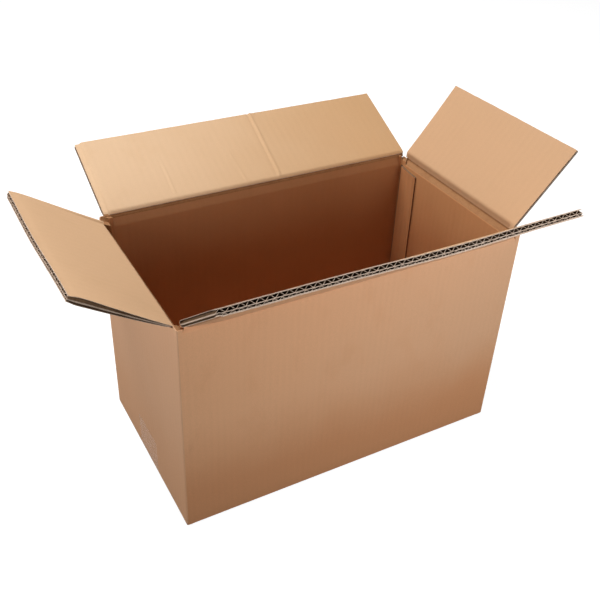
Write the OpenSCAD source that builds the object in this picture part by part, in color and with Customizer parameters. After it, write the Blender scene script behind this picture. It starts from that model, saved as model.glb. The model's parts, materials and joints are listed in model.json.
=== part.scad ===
// Slotted shipping box folded from one sheet of double-wall corrugated board.
// The bottom is closed and taped, and the four top flaps stand open as hinged panels.
// Millimetres. The origin is under the middle of the box, on the surface it stands on.
// X runs along the long panels, Y along the short ones, and Z is up.

/* [Box] */
// Outside length, along the long panels
box_l = 345; // [240:1:600]
// Outside width, along the short panels
box_w = 193; // [150:1:400]
// Height of the short panels' top creases
end_crease_h = 224.5; // [130:0.5:400]
// Outside radius of the upright folds
corner_r = 5; // [3:0.5:7]
// Outside radius of the bottom folds
bottom_r = 4; // [2:0.5:6]

/* [Board] */
// Thickness of each of the three flat liners
liner_t = 0.35; // [0.2:0.05:0.6]
// Height of the large flute, which lies next to the inside
large_flute_h = 3.6; // [3:0.1:4.8]
// Pitch of the large flute
large_pitch = 7.7; // [6.5:0.1:9.5]
// Height of the small flute, which lies next to the outside
small_flute_h = 2.35; // [2:0.05:3]
// Pitch of the small flute
small_pitch = 6.3; // [5.5:0.1:7.5]
// Thickness of the fluted paper
fluting_t = 0.4; // [0.25:0.05:0.6]
// Part of a flute's pitch that lies flat on its liner
crest_share = 0.26; // [0.2:0.02:0.34]

/* [Creases] */
// Thickness of the board where a crease crushes it
web_t = 1.4; // [1:0.1:2]
// Depth of the short panels' folding line below the outside face
end_pivot = 1; // [1:0.1:1.4]
// Depth of the long panels' folding line below the outside face
side_pivot = 4; // [3:0.1:5]
// Clearance between boards that pass or lie on each other
fold_clear = 0.3; // [0.2:0.05:0.6]
// Solid board between a crease and the first open flute
crush_l = 12; // [9:0.5:20]

/* [Flaps] */
// Gap between the long flaps when they are shut
seam_gap = 6; // [2:0.5:12]
// Distance of a long flap's ends from the box's end faces
side_flap_inset = 4.5; // [3:0.5:7]
// Distance of a short flap's ends from the box's long faces, beyond the board's thickness
end_flap_gap = 1; // [0.5:0.1:4]
// Greatest angle that a flap opens to, from upright
open_limit = 125; // [100:1:130]
// Opening angle of the front flap, from upright
front_angle = 51; // [0:1:100]
// Opening angle of the back flap, from upright
back_angle = 65; // [0:1:100]
// Opening angle of the left flap, from upright
left_angle = 61; // [0:1:100]
// Opening angle of the right flap, from upright
right_angle = 42; // [0:1:100]

/* [Glue tab] */
// Width of the glue tab inside the back right corner
tab_w = 29; // [20:1:45]
// Thickness of the crushed glue tab
tab_t = 2.4; // [1.5:0.1:4]
// Gap between the tab's upper end and the right flap when it is shut
tab_drop = 0.5; // [0.3:0.1:8]
// Slope of the tab's ends, down and up towards its free edge
tab_slope = 6; // [0:1:20]

/* [Bottom] */
// Gap between the long bottom flaps
bottom_seam = 2; // [0.5:0.5:6]
// Height of the slots' ends above the underside, at the corners
slot_h = 2; // [1:0.5:4]
// Width of the groove between a short panel's hem and the long flaps' ends
hem_gap = 0.8; // [0.4:0.1:1.5]
// Depth of that groove
hem_groove = 3; // [1:0.5:5]

/* [Tape] */
// Width of the clear tape over the bottom seam
tape_w = 48; // [30:1:75]
// Thickness of the tape
tape_t = 0.1; // [0.05:0.05:0.3]
// Height that the tape's tails reach up the end faces
tail_h = 42; // [20:1:100]

/* [Hidden] */

board_t = 3 * liner_t + large_flute_h + small_flute_h;
crease_step = board_t + end_pivot - side_pivot + fold_clear;
side_crease_h = end_crease_h + crease_step;
side_flap_l = box_l - 2 * side_flap_inset;
end_flap_l = box_w - 2 * (board_t + end_flap_gap);
side_flap_d = box_w / 2 - side_pivot - seam_gap / 2;
end_flap_d = side_flap_d + crease_step;
end_floor_l = end_flap_d + end_pivot;
web_r = web_t / 2;
seam_a = 20;
arc_steps = 8;
kraft = [0.78, 0.6, 0.42];
kraft_pale = [0.86, 0.7, 0.51];
tape_tint = [0.85, 0.78, 0.62, 0.4];

// Points of an arc about c, from angle a0 to angle a1.
function arc(c, r, a0, a1) =
    [for (i = [0:arc_steps]) let (a = a0 + (a1 - a0) * i / arc_steps) c + r * [cos(a), sin(a)]];

// Distance along the board at which a bevel lets it fold by an angle, u away from the folding line.
function bevel_l(u, fold) = u / tan((180 - fold) / 2) + fold_clear;

// Root of a flap in section: depth from the folding line, distance beyond the crease.
function flap_root(pivot) = concat(
    arc([0, 0], web_r, 180, 360),
    [[web_r, bevel_l(web_r, 90)],
     [board_t - pivot, bevel_l(board_t - pivot, 90)],
     [board_t - pivot, crush_l],
     [-pivot, crush_l],
     [-pivot, bevel_l(pivot, open_limit)],
     [-web_r, bevel_l(web_r, open_limit)]]);

// Upright wall in section below its crease, from the folding line down by a height.
function wall_section(pivot, h) = [
    [-pivot, -h],
    [board_t - pivot, -h],
    [board_t - pivot, -bevel_l(board_t - pivot, 90)],
    [web_r, -web_r - fold_clear],
    [-web_r / 6, -web_r - fold_clear],
    [-web_r, -bevel_l(web_r, open_limit)],
    [-pivot, -bevel_l(pivot, open_limit)]];

// Profile in Y and Z, run along X and centred.
module along_x(length, points) {
    rotate([90, 0, 90]) linear_extrude(length, center = true) polygon(points);
}

// Open flutes of one layer across a panel, cut in half at both of its ends.
module flutes(length, pitch, low, high) {
    count = round(2 * length / pitch);
    step = length / count;
    rise = high - low - fluting_t;
    run = step * (1 - 2 * crest_share);
    web = fluting_t * sqrt(1 + pow(run / rise, 2));
    wide = step * (1 - crest_share) - web / 2;
    narrow = step * crest_share - web / 2;
    for (i = [0:count]) {
        foot = i % 2 == 0 ? high : low;
        tip = i % 2 == 0 ? low + fluting_t : high - fluting_t;
        x = i * step - length / 2;
        polygon([[x - wide, foot], [x + wide, foot], [x + narrow, tip], [x - narrow, tip]]);
    }
}

// Section of the board across its flutes, outside face at y = 0.
module board_section(length) {
    large_low = 2 * liner_t + small_flute_h;
    difference() {
        translate([-length / 2, 0]) square([length, board_t]);
        flutes(length, small_pitch, liner_t, liner_t + small_flute_h);
        flutes(length, large_pitch, large_low, large_low + large_flute_h);
    }
}

// Upright flap with its folding line on the X axis and its inside face towards +Y.
module flap(length, depth, pivot) {
    along_x(length, flap_root(pivot));
    translate([0, -pivot, crush_l]) linear_extrude(depth - crush_l) board_section(length);
}

// Flap hung on its crease: turned to its panel, then opened outwards by an angle.
module hung_flap(turn, reach, crease_h, angle, length, depth, pivot) {
    rotate([0, 0, turn]) translate([0, pivot - reach, crease_h]) rotate([angle, 0, 0])
        flap(length, depth, pivot);
}

// Wall turned to its side of the box.
module wall(turn, reach, crease_h, length, pivot) {
    rotate([0, 0, turn]) translate([0, pivot - reach, crease_h])
        along_x(length, wall_section(pivot, crease_h - tape_t));
}

// Plan of the box. The right panel's raw edge stands open beside the fold of the glue tab.
module plan() {
    x = box_l / 2;
    y = box_w / 2;
    joint_x = x - board_t;
    fold_c = [joint_x - corner_r, y - corner_r];
    polygon(concat(
        arc([corner_r - x, corner_r - y], corner_r, 180, 270),
        arc([x - corner_r, corner_r - y], corner_r, 270, 360),
        [[x, y - liner_t], [joint_x, y - liner_t], [joint_x, fold_c[1] + corner_r * sin(seam_a)]],
        arc(fold_c, corner_r, seam_a, 90),
        arc([corner_r - x, y - corner_r], corner_r, 90, 180)));
}

// Outline of the box seen along one side, with its two bottom folds rounded.
module side_outline(width, r) {
    x = width / 2;
    polygon(concat(
        arc([r - x, r + tape_t], r, 180, 270),
        arc([x - r, r + tape_t], r, 270, 360),
        [[x, side_crease_h], [-x, side_crease_h]]));
}

// Long bottom flap on the front side, solid, up to the seam.
module side_floor() {
    translate([-side_flap_l / 2, -box_w / 2, tape_t])
        cube([side_flap_l, (box_w - bottom_seam) / 2, board_t]);
}

// Short bottom flap on the right side, solid, lying on the long ones.
module end_floor() {
    translate([box_l / 2 - end_floor_l, -end_flap_l / 2, board_t + tape_t])
        cube([end_floor_l, end_flap_l, board_t]);
}

// Open corner slots of the bottom, and the groove beside each short panel's hem.
module bottom_slots() {
    for (turn = [0, 180]) {
        rotate([0, 0, turn]) translate([side_flap_l / 2, 0, 0]) {
            for (y = [-box_w / 2 - 1, end_flap_l / 2])
                translate([0, y, 0])
                    cube([side_flap_inset + 1, board_t + end_flap_gap + 1, tape_t + slot_h]);
            translate([0, -box_w / 2, 0]) cube([hem_gap, box_w, tape_t + hem_groove]);
        }
    }
}

// Glue tab: the back panel's crushed edge, folded in and glued to the right panel.
module glue_tab() {
    low = 2 * board_t + tape_t;
    high = end_crease_h + end_pivot - board_t - tab_drop;
    skew = tab_w * tan(tab_slope);
    translate([box_l / 2 - board_t, box_w / 2 - board_t, 0]) rotate([90, 0, -90])
        linear_extrude(tab_t)
        polygon([[0, low], [tab_w, low + skew], [tab_w, high - skew], [0, high]]);
}

// The sheet below its top creases: four panels, glue tab and closed bottom.
module box_body() {
    color(kraft) union() {
        intersection() {
            difference() {
                union() {
                    wall(0, box_w / 2, side_crease_h, box_l, side_pivot);
                    wall(180, box_w / 2, side_crease_h, box_l, side_pivot);
                    wall(-90, box_l / 2, end_crease_h, box_w, end_pivot);
                    wall(90, box_l / 2, end_crease_h, box_w, end_pivot);
                    for (turn = [0, 180]) rotate([0, 0, turn]) {
                        side_floor();
                        end_floor();
                    }
                }
                bottom_slots();
            }
            linear_extrude(side_crease_h) plan();
            rotate([90, 0, 90]) linear_extrude(box_l + 2, center = true) side_outline(box_w, bottom_r);
            rotate([90, 0, 0]) linear_extrude(box_w + 2, center = true) side_outline(box_l, bottom_r / 2);
        }
        glue_tab();
    }
}

module front_flap() {
    color(kraft_pale)
        hung_flap(0, box_w / 2, side_crease_h, front_angle, side_flap_l, side_flap_d, side_pivot);
}

module back_flap() {
    color(kraft_pale)
        hung_flap(180, box_w / 2, side_crease_h, back_angle, side_flap_l, side_flap_d, side_pivot);
}

module left_flap() {
    color(kraft_pale)
        hung_flap(-90, box_l / 2, end_crease_h, left_angle, end_flap_l, end_flap_d, end_pivot);
}

module right_flap() {
    color(kraft_pale)
        hung_flap(90, box_l / 2, end_crease_h, right_angle, end_flap_l, end_flap_d, end_pivot);
}

// Clear tape along the bottom seam, its two tails turned up onto the end faces.
module bottom_tape() {
    x = box_l / 2;
    r = bottom_r / 2;
    color(tape_tint) rotate([90, 0, 0]) linear_extrude(tape_w, center = true)
        polygon(concat(
            [[-x - tape_t, tail_h]],
            arc([r - x, r + tape_t], r + tape_t, 180, 270),
            arc([x - r, r + tape_t], r + tape_t, 270, 360),
            [[x + tape_t, tail_h], [x, tail_h]],
            arc([x - r, r + tape_t], r, 360, 270),
            arc([r - x, r + tape_t], r, 270, 180),
            [[-x, tail_h]]));
}

box_body();
front_flap();
back_flap();
left_flap();
right_flap();
bottom_tape();
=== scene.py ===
"""Dresses the open slotted shipping box: fluted flaps, folded walls, creases, tape, light and camera."""

import json
import logging
import math
from dataclasses import dataclass, field
from enum import Enum
from typing import Mapping, Sequence

import bmesh
import bpy
import numpy as np
from mathutils import Matrix, Vector


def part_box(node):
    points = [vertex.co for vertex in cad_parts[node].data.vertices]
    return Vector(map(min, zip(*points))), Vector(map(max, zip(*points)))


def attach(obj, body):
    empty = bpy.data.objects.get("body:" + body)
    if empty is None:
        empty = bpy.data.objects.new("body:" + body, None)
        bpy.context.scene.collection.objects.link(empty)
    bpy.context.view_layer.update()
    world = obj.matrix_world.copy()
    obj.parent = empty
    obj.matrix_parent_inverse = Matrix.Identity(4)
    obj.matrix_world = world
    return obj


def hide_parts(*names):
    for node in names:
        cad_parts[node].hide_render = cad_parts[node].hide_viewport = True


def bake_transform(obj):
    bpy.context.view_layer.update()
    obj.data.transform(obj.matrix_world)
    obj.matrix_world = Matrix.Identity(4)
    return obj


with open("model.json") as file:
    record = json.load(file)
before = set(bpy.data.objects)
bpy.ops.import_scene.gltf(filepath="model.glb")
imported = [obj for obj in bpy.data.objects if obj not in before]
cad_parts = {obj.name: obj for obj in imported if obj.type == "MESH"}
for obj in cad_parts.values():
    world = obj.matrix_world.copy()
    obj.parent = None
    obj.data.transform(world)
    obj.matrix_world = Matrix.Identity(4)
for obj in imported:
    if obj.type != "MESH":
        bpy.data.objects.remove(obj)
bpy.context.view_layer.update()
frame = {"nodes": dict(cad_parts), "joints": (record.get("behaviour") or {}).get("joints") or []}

MM = 0.001
UP = np.array([0.0, 0.0, 1.0])
WHITE = (1.0, 1.0, 1.0, 1.0)
LOG = logging.getLogger("shipping_box")


class Axis(Enum):
    """The level axis along which a panel's flutes follow each other."""

    LONG = (1.0, 0.0, 0.0)
    SHORT = (0.0, 1.0, 0.0)


class Ply(Enum):
    """Places of a panel's own materials in its list of slots."""

    OUTSIDE = 0
    INSIDE = 1
    CUT = 2
    # Dark fluting paper, darker than the real paper: partly its own colour, partly painted shade in the flute
    # channels, crushed edges and the tab's crease.
    FLUTING = 3


class WallSlot(Enum):
    """Places of the walls' materials in their list of slots."""

    LONG_OUTSIDE = 0
    LONG_INSIDE = 1
    SHORT_OUTSIDE = 2
    SHORT_INSIDE = 3
    # Dark crease paper: painted shade in the creases' grooves and in the slots at the corners.
    CREASE = 4


def smooth(x: np.ndarray) -> np.ndarray:
    """Rise smoothly from 0 to 1 as x goes from 0 to 1."""
    x = np.clip(x, 0.0, 1.0)
    return x * x * (3.0 - 2.0 * x)


def wander(x: np.ndarray, reach: float, seed: int) -> np.ndarray:
    """Draw a smooth random line.

    Args:
        x: Places along the line, in metres.
        reach: Length over which the line changes its mind, in metres.
        seed: Seed of the draw.

    Returns:
        Values of about -1 to 1 at those places.
    """
    rng = np.random.default_rng(seed)
    total = np.zeros_like(x)
    for octave in range(3):
        waves = rng.uniform(0.6, 1.4, 4) * (2.0 ** octave) * 2.0 * math.pi / reach
        phases = rng.uniform(0.0, 2.0 * math.pi, 4)
        for wave, phase in zip(waves, phases):
            total += np.sin(wave * x + phase) / (4.0 * 1.6 ** octave)
    return total


class Signal:
    """A number in a shader tree, whose arithmetic adds Math nodes."""

    def __init__(self, tree: "ShaderTree", socket: bpy.types.NodeSocket) -> None:
        """Keep the socket and the tree that it belongs to."""
        self.tree = tree
        self.socket = socket

    def math(self, operation: str, *others: "Signal | float") -> "Signal":
        """Join this number and the others with one Math operation."""
        return self.tree.math(operation, self, *others)

    def __add__(self, other: "Signal | float") -> "Signal":
        """Add."""
        return self.math("ADD", other)

    __radd__ = __add__

    def __mul__(self, other: "Signal | float") -> "Signal":
        """Multiply."""
        return self.math("MULTIPLY", other)

    __rmul__ = __mul__

    def __sub__(self, other: "Signal | float") -> "Signal":
        """Subtract the other number from this one."""
        return self.math("SUBTRACT", other)

    def __rsub__(self, other: "Signal | float") -> "Signal":
        """Subtract this number from the other one."""
        return self.tree.math("SUBTRACT", other, self)

    def between(self, low: float, high: float) -> "Signal":
        """Rise smoothly from 0 to 1 between two levels.

        Args:
            low: Level up to which the result is 0.
            high: Level from which it is 1.

        Returns:
            The new number.
        """
        settings = {"interpolation_type": "SMOOTHSTEP"}
        node = self.tree.node("ShaderNodeMapRange", settings, {0: self, 1: low, 2: high, 3: 0.0, 4: 1.0})
        return Signal(self.tree, node.outputs[0])


Value = Signal | bpy.types.NodeSocket | float | Sequence[float]


class ShaderTree:
    """The nodes of one material or of the sky, with short calls for what the finishes need."""

    def __init__(self, owner: bpy.types.Material | bpy.types.World) -> None:
        """Empty a node tree, ready for new nodes.

        Args:
            owner: The material or the sky that has the tree.
        """
        owner.use_nodes = True
        self.owner = owner
        self.nodes = owner.node_tree.nodes
        self.links = owner.node_tree.links
        self.nodes.clear()

    @classmethod
    def named(cls, name: str) -> "ShaderTree":
        """Start an empty material of that name."""
        return cls(bpy.data.materials.new(name))

    def node(
        self,
        kind: str,
        settings: Mapping[str, object] | None = None,
        sockets: Mapping[str | int, Value] | None = None,
    ) -> bpy.types.Node:
        """Add a node.

        Args:
            kind: The node's type.
            settings: Its own settings, set first.
            sockets: A value or a link for each input, by name or number.

        Returns:
            The new node.
        """
        made = self.nodes.new(kind)
        for name, value in (settings or {}).items():
            setattr(made, name, value)
        for name, value in (sockets or {}).items():
            self.feed(made.inputs[name], value)
        return made

    def feed(self, socket: bpy.types.NodeSocket, value: Value) -> None:
        """Link an input, or set it to a plain value.

        Args:
            socket: The input.
            value: The number or the socket that it is linked to, or its value.
        """
        source = value.socket if isinstance(value, Signal) else value
        if isinstance(source, bpy.types.NodeSocket):
            self.links.new(source, socket)
        else:
            socket.default_value = value

    def math(self, operation: str, *values: "Signal | float") -> Signal:
        """Add one Math node on those numbers."""
        node = self.node("ShaderNodeMath", {"operation": operation}, dict(enumerate(values)))
        return Signal(self, node.outputs[0])

    def mix(
        self, factor: Signal | float, first: Value, second: Value, blend: str = "MIX"
    ) -> bpy.types.NodeSocket:
        """Mix two colours.

        Args:
            factor: Share of the second colour.
            first: The first colour.
            second: The second colour.
            blend: How the second is laid on the first.

        Returns:
            The mixed colour's socket.
        """
        settings = {"data_type": "RGBA", "blend_type": blend}
        node = self.node("ShaderNodeMix", settings, {0: factor, 6: first, 7: second})
        return node.outputs[2]

    def coordinates(self, stretch: Sequence[float] = (1.0, 1.0, 1.0)) -> bpy.types.NodeSocket:
        """Take the object's own coordinates, in metres.

        Args:
            stretch: What each of the three is multiplied by.

        Returns:
            The socket of the stretched coordinates.
        """
        place = self.node("ShaderNodeTexCoord").outputs["Object"]
        settings = {"operation": "MULTIPLY"}
        return self.node("ShaderNodeVectorMath", settings, {0: place, 1: tuple(stretch)}).outputs[0]

    def along(self, axis: Sequence[float]) -> Signal:
        """Take the place along an axis.

        Args:
            axis: The axis' direction, one unit long.

        Returns:
            The place, in metres.
        """
        place = self.node("ShaderNodeTexCoord").outputs["Object"]
        settings = {"operation": "DOT_PRODUCT"}
        node = self.node("ShaderNodeVectorMath", settings, {0: place, 1: tuple(axis)})
        return Signal(self, node.outputs["Value"])

    def noise(self, where: bpy.types.NodeSocket, scale: float, detail: float = 3.0) -> Signal:
        """Take a cloudy noise of about 0 to 1, with that many clouds to the metre."""
        node = self.node("ShaderNodeTexNoise", None, {"Vector": where, "Scale": scale, "Detail": detail})
        return Signal(self, node.outputs[0])

    def bump(self, height: Signal, strength: float = 1.0) -> bpy.types.NodeSocket:
        """Turn a height in metres into a bumped normal."""
        sockets = {"Strength": strength, "Distance": 1.0, "Height": height}
        return self.node("ShaderNodeBump", None, sockets).outputs[0]

    def shader(self, kind: str, sockets: Mapping[str | int, Value]) -> bpy.types.NodeSocket:
        """Add a shader node on those inputs and return its output."""
        return self.node(kind, None, sockets).outputs[0]

    def surface(
        self, shader: bpy.types.NodeSocket, output: str = "ShaderNodeOutputMaterial"
    ) -> bpy.types.Material | bpy.types.World:
        """Send a shader to the surface.

        Args:
            shader: The shader's output.
            output: Type of the node that it goes to.

        Returns:
            The material or the sky that has the tree.
        """
        self.node(output, None, {"Surface": shader})
        return self.owner

    def principled(self, sockets: Mapping[str | int, Value]) -> bpy.types.Material:
        """Finish the material with one Principled shader on those inputs."""
        return self.surface(self.shader("ShaderNodeBsdfPrincipled", sockets))


@dataclass(frozen=True)
class KraftTone:
    """Colours of a kraft liner: near the box's left end, near its right end, and a darker tone for its mottle
    and for painted shade.

    The painted shade darkens the liner towards its foot and fades out upwards between the two heights.
    """

    left: tuple[float, float, float]
    right: tuple[float, float, float]
    dull: tuple[float, float, float]
    fade: tuple[float, float] = (0.03, 0.13)


@dataclass(frozen=True)
class Kraft:
    """Brown kraft liner: mottled, with fine fibres, the faint lines of the flutes under it and painted shade
    towards its foot.
    """

    name: str
    axis: Axis
    pitch: float
    tone: KraftTone
    roughness: float = 0.82
    line_depth: float = 0.045 * MM
    fibre_depth: float = 0.02 * MM

    def material(self) -> bpy.types.Material:
        """Build the material.

        Returns:
            The liner's material.
        """
        tree = ShaderTree.named(self.name)
        cloud = tree.noise(tree.coordinates(), 14.0, 2.0)
        patch = tree.noise(tree.coordinates((1.0, 1.0, 0.6)), 42.0, 3.0)
        fibre = tree.noise(tree.coordinates((1.0, 1.0, 0.35)), 1900.0, 2.0)
        speck = tree.noise(tree.coordinates(), 700.0, 2.0).between(0.66, 0.76)
        place = tree.along(self.axis.value)
        line = (place * (2.0 * math.pi / self.pitch)).math("SINE")
        drift = tree.noise(tree.coordinates((1.0, 1.0, 0.15)), 60.0, 1.0)
        strength = drift.between(0.3, 0.7) * 0.7 + 0.3
        reach = tree.along(Axis.LONG.value) + (cloud - 0.5) * 0.1
        base = tree.mix(reach.between(-0.18, 0.18), (*self.tone.left, 1.0), (*self.tone.right, 1.0))
        base = tree.mix(patch.between(0.5, 0.75) * 0.14, base, (*self.tone.dull, 1.0))
        # Painted shade: the liner turns to the darker tone towards its foot, fading out upwards between the
        # tone's two heights.
        height = tree.along(UP) + (cloud - 0.5) * 0.04
        base = tree.mix(1.0 - height.between(*self.tone.fade), base, (*self.tone.dull, 1.0))
        grey = (fibre - 0.5) * 0.16 + (line * strength) * 0.008 + 1.0 - speck * 0.05
        level = tree.node("ShaderNodeCombineColor", None, {0: grey, 1: grey, 2: grey})
        base = tree.mix(1.0, base, level.outputs[0], "MULTIPLY")
        relief = line * strength * self.line_depth + (fibre - 0.5) * self.fibre_depth
        rough = self.roughness + (patch - 0.5) * 0.1
        return tree.principled(
            {"Base Color": base, "Roughness": rough, "Specular IOR Level": 0.25, "Normal": tree.bump(relief)}
        )


@dataclass(frozen=True)
class CutPaper:
    """Bare paper without a smooth face, at cut edges, creases and flutes: fibrous and matt. The dark crease
    and flute papers also carry painted shade for those hollows.
    """

    name: str
    color: tuple[float, float, float]
    shade: tuple[float, float, float]
    scale: float = 900.0
    fibre_depth: float = 0.08 * MM

    def material(self) -> bpy.types.Material:
        """Build the material.

        Returns:
            The edge's material.
        """
        tree = ShaderTree.named(self.name)
        fibre = tree.noise(tree.coordinates(), self.scale, 3.0)
        patch = tree.noise(tree.coordinates(), 110.0, 2.0)
        mask = fibre.between(0.4, 0.68) * 0.6 + patch.between(0.45, 0.7) * 0.4
        base = tree.mix(mask, (*self.color, 1.0), (*self.shade, 1.0))
        normal = tree.bump(fibre * self.fibre_depth)
        return tree.principled(
            {"Base Color": base, "Roughness": 0.92, "Specular IOR Level": 0.2, "Normal": normal}
        )


@dataclass(frozen=True)
class ClearTape:
    """Clear packing tape: glossy film over the board, a little yellow, with small trapped bubbles."""

    name: str
    tint: tuple[float, float, float]
    milky: tuple[float, float, float]
    crinkle_depth: float = 0.15 * MM

    def material(self) -> bpy.types.Material:
        """Build the material.

        Returns:
            The tape's material.
        """
        tree = ShaderTree.named(self.name)
        crinkle = tree.noise(tree.coordinates((1.0, 3.0, 1.0)), 120.0, 3.0)
        bubble = tree.noise(tree.coordinates((1.0, 0.5, 1.0)), 260.0, 2.0).between(0.6, 0.72)
        return tree.principled(
            {
                "Base Color": tree.mix(bubble, (*self.tint, 1.0), (*self.milky, 1.0)),
                "Roughness": 0.12 + crinkle * 0.12,
                "Alpha": 0.08 + bubble * 0.05,
                "Normal": tree.bump(crinkle * self.crinkle_depth, 0.6),
            }
        )


class MeshMaker:
    """Collects points and faces, and turns them into one piece."""

    def __init__(self) -> None:
        """Start with nothing."""
        self.points: list[np.ndarray] = []
        self.faces: list[tuple[int, ...]] = []
        self.slots: list[int] = []
        self.count = 0

    def add_points(self, points: np.ndarray) -> int:
        """Add points.

        Args:
            points: An array of any shape, with three numbers a point.

        Returns:
            The number of the first of them.
        """
        first = self.count
        flat = points.reshape(-1, 3)
        self.points.append(flat)
        self.count += len(flat)
        return first

    def add_grid(self, first: int, rows: int, columns: int, slot: int, flip: bool) -> None:
        """Add the faces of a grid of points.

        Args:
            first: Number of the grid's first point.
            rows: Points in the first direction.
            columns: Points in the second direction, which lie next to each other in the list.
            slot: Material slot of the faces.
            flip: True where the grid is seen from its other side.
        """
        for i in range(rows - 1):
            for j in range(columns - 1):
                a = first + i * columns + j
                corners = (a, a + columns, a + columns + 1, a + 1)
                self.faces.append(corners[::-1] if flip else corners)
                self.slots.append(slot)

    def add_slab(self, over: np.ndarray, under: np.ndarray, slots: tuple[int, int, int]) -> None:
        """Add a closed slab between two grids of the same size.

        Args:
            over: Points of the upper face, rows by columns by three.
            under: Points of the lower face.
            slots: Material slots of the upper face, the lower face and the rim.
        """
        rows, columns = over.shape[:2]
        top = self.add_points(over)
        low = self.add_points(under)
        self.add_grid(top, rows, columns, slots[0], False)
        self.add_grid(low, rows, columns, slots[1], True)
        ring = [(i, 0) for i in range(rows)]
        ring += [(rows - 1, j) for j in range(1, columns)]
        ring += [(i, columns - 1) for i in range(rows - 2, -1, -1)]
        ring += [(0, j) for j in range(columns - 2, 0, -1)]
        for (i, j), (k, m) in zip(ring, ring[1:] + ring[:1]):
            a = i * columns + j
            b = k * columns + m
            self.faces.append((top + a, low + a, low + b, top + b))
            self.slots.append(slots[2])

    def build(
        self, name: str, materials: Sequence[bpy.types.Material], crease_deg: float = 35.0
    ) -> bpy.types.Object:
        """Make the piece.

        Args:
            name: The piece's name.
            materials: Its materials, by slot.
            crease_deg: Angle between faces above which their edge is drawn sharp.

        Returns:
            The new object, linked to the scene.
        """
        mesh = bpy.data.meshes.new(name)
        mesh.from_pydata(np.concatenate(self.points).tolist(), [], self.faces)
        mesh.polygons.foreach_set("material_index", self.slots)
        work = bmesh.new()
        work.from_mesh(mesh)
        bmesh.ops.recalc_face_normals(work, faces=work.faces)
        work.to_mesh(mesh)
        work.free()
        mesh.polygons.foreach_set("use_smooth", [True] * len(mesh.polygons))
        mesh.set_sharp_from_angle(angle=math.radians(crease_deg))
        mesh.update()
        for material in materials:
            mesh.materials.append(material)
        made = bpy.data.objects.new(name, mesh)
        bpy.context.scene.collection.objects.link(made)
        return made


@dataclass(frozen=True)
class BoardGrade:
    """Double-wall board, from its outside face: liner, small flute, liner, large flute, liner.

    The knife frays the liners at a free edge, which makes each of them that much thicker there.
    """

    liner: float = 0.45 * MM
    small_flute: float = 2.2 * MM
    small_pitch: float = 6.3 * MM
    large_flute: float = 3.45 * MM
    large_pitch: float = 7.7 * MM
    fluting: float = 0.4 * MM
    frayed: tuple[float, float, float] = (0.7 * MM, 0.2 * MM, 0.35 * MM)

    @property
    def thickness(self) -> float:
        """Whole thickness of the board."""
        return 3.0 * self.liner + self.small_flute + self.large_flute

    def liner_depths(self) -> list[float]:
        """Depths of the three liners' outer faces below the outside face."""
        middle = self.liner + self.small_flute
        return [0.0, middle, middle + self.liner + self.large_flute]


@dataclass(frozen=True)
class Dent:
    """A pressed line that runs from a crease towards a panel's free edge."""

    place: float
    lean: float
    start: float
    end: float
    width: float
    height: float
    ramp: float = 6.0 * MM

    def lift(self, u: np.ndarray, v: np.ndarray) -> np.ndarray:
        """Raise the line over the panel, with a shallower groove beside it.

        Args:
            u: Places along the panel.
            v: Distances from the crease.

        Returns:
            Heights over the panel at those places.
        """
        across = (u - self.place - self.lean * v) / self.width
        fade = smooth((v - self.start) / self.ramp) * smooth((self.end - v) / self.ramp)
        return self.height * fade * (np.exp(-across**2) - 0.6 * np.exp(-((across - 2.2) ** 2)))


@dataclass(frozen=True)
class Bow:
    """A gentle bend of a panel's free edge out of its plane."""

    place: float
    reach: float
    depth: float

    def lift(self, u: np.ndarray, share: np.ndarray) -> np.ndarray:
        """Height of the bend, where share goes from 0 at the crease to 1 at the free edge."""
        return self.depth * np.exp(-(((u - self.place) / self.reach) ** 2)) * share**1.6


@dataclass(frozen=True)
class EdgeCrush:
    """A slotted side edge of a panel, pressed thin by the slotting knife.

    The end is -1 or 1 along the panel, keep is the share of the thickness that is left, and hold says
    which face stays in its plane: 0 for the outside and 1 for the inside.
    """

    end: int
    width: float
    keep: float
    hold: float

    def press(self, u: np.ndarray, t: np.ndarray, length: float, low: float, thickness: float) -> np.ndarray:
        """Press the layers near the edge towards the face that stays.

        Args:
            u: Places along the panel.
            t: Distances of the layers from the folding line's plane.
            length: Length of the panel.
            low: Distance of the outside face.
            thickness: Thickness of the board.

        Returns:
            The pressed distances.
        """
        fixed = low + self.hold * thickness
        near = smooth((self.end * u - length / 2.0 + self.width) / (0.45 * self.width))
        return fixed + (t - fixed) * (1.0 - (1.0 - self.keep) * near)


@dataclass(frozen=True)
class RimShape:
    """How far the crease's pressed groove reaches down a wall, outside and inside.

    The bead is the ridge that the creasing wheel raised under the groove, and an ease of 0 gives
    the groove straight slopes.
    """

    outer_run: float
    inner_run: float
    bead: float
    ease: float = 1.0


@dataclass(frozen=True)
class FlapLook:
    """What sets one flap and its crease apart, and the draw of its small faults.

    The board is crushed at its crease: its layers inside the folding line are whole again after
    crush_in and those outside it after crush_out, and an ease of 0 gives the inner ones a straight
    wedge. The trims say how much shorter the flap is cut at its two ends, the thinning how much of
    its thickness a handled free edge has lost, and the bulge how far the outer liner rolls out
    above the fold that presses it together.
    """

    seed: int
    crush_in: float
    crush_out: float
    rim: RimShape | None = None
    ease: float = 1.0
    bulge: float = 0.0
    trims: tuple[float, float] = (0.0, 0.0)
    thinning: float = 0.05
    bows: tuple[Bow, ...] = ()
    dents: tuple[Dent, ...] = ()
    crushes: tuple[EdgeCrush, ...] = ()


@dataclass
class PanelPlace:
    """Where a panel lies: a point on its folding line, and the directions along, through and up it."""

    origin: np.ndarray
    along: np.ndarray
    inward: np.ndarray
    up: np.ndarray

    def point(self, u: np.ndarray, t: np.ndarray, v: np.ndarray) -> np.ndarray:
        """Turn places along, through and up the panel into points of the frame."""
        u, t, v = np.broadcast_arrays(u, t, v)
        return (
            self.origin
            + u[..., None] * self.along
            + t[..., None] * self.inward
            + v[..., None] * self.up
        )


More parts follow.
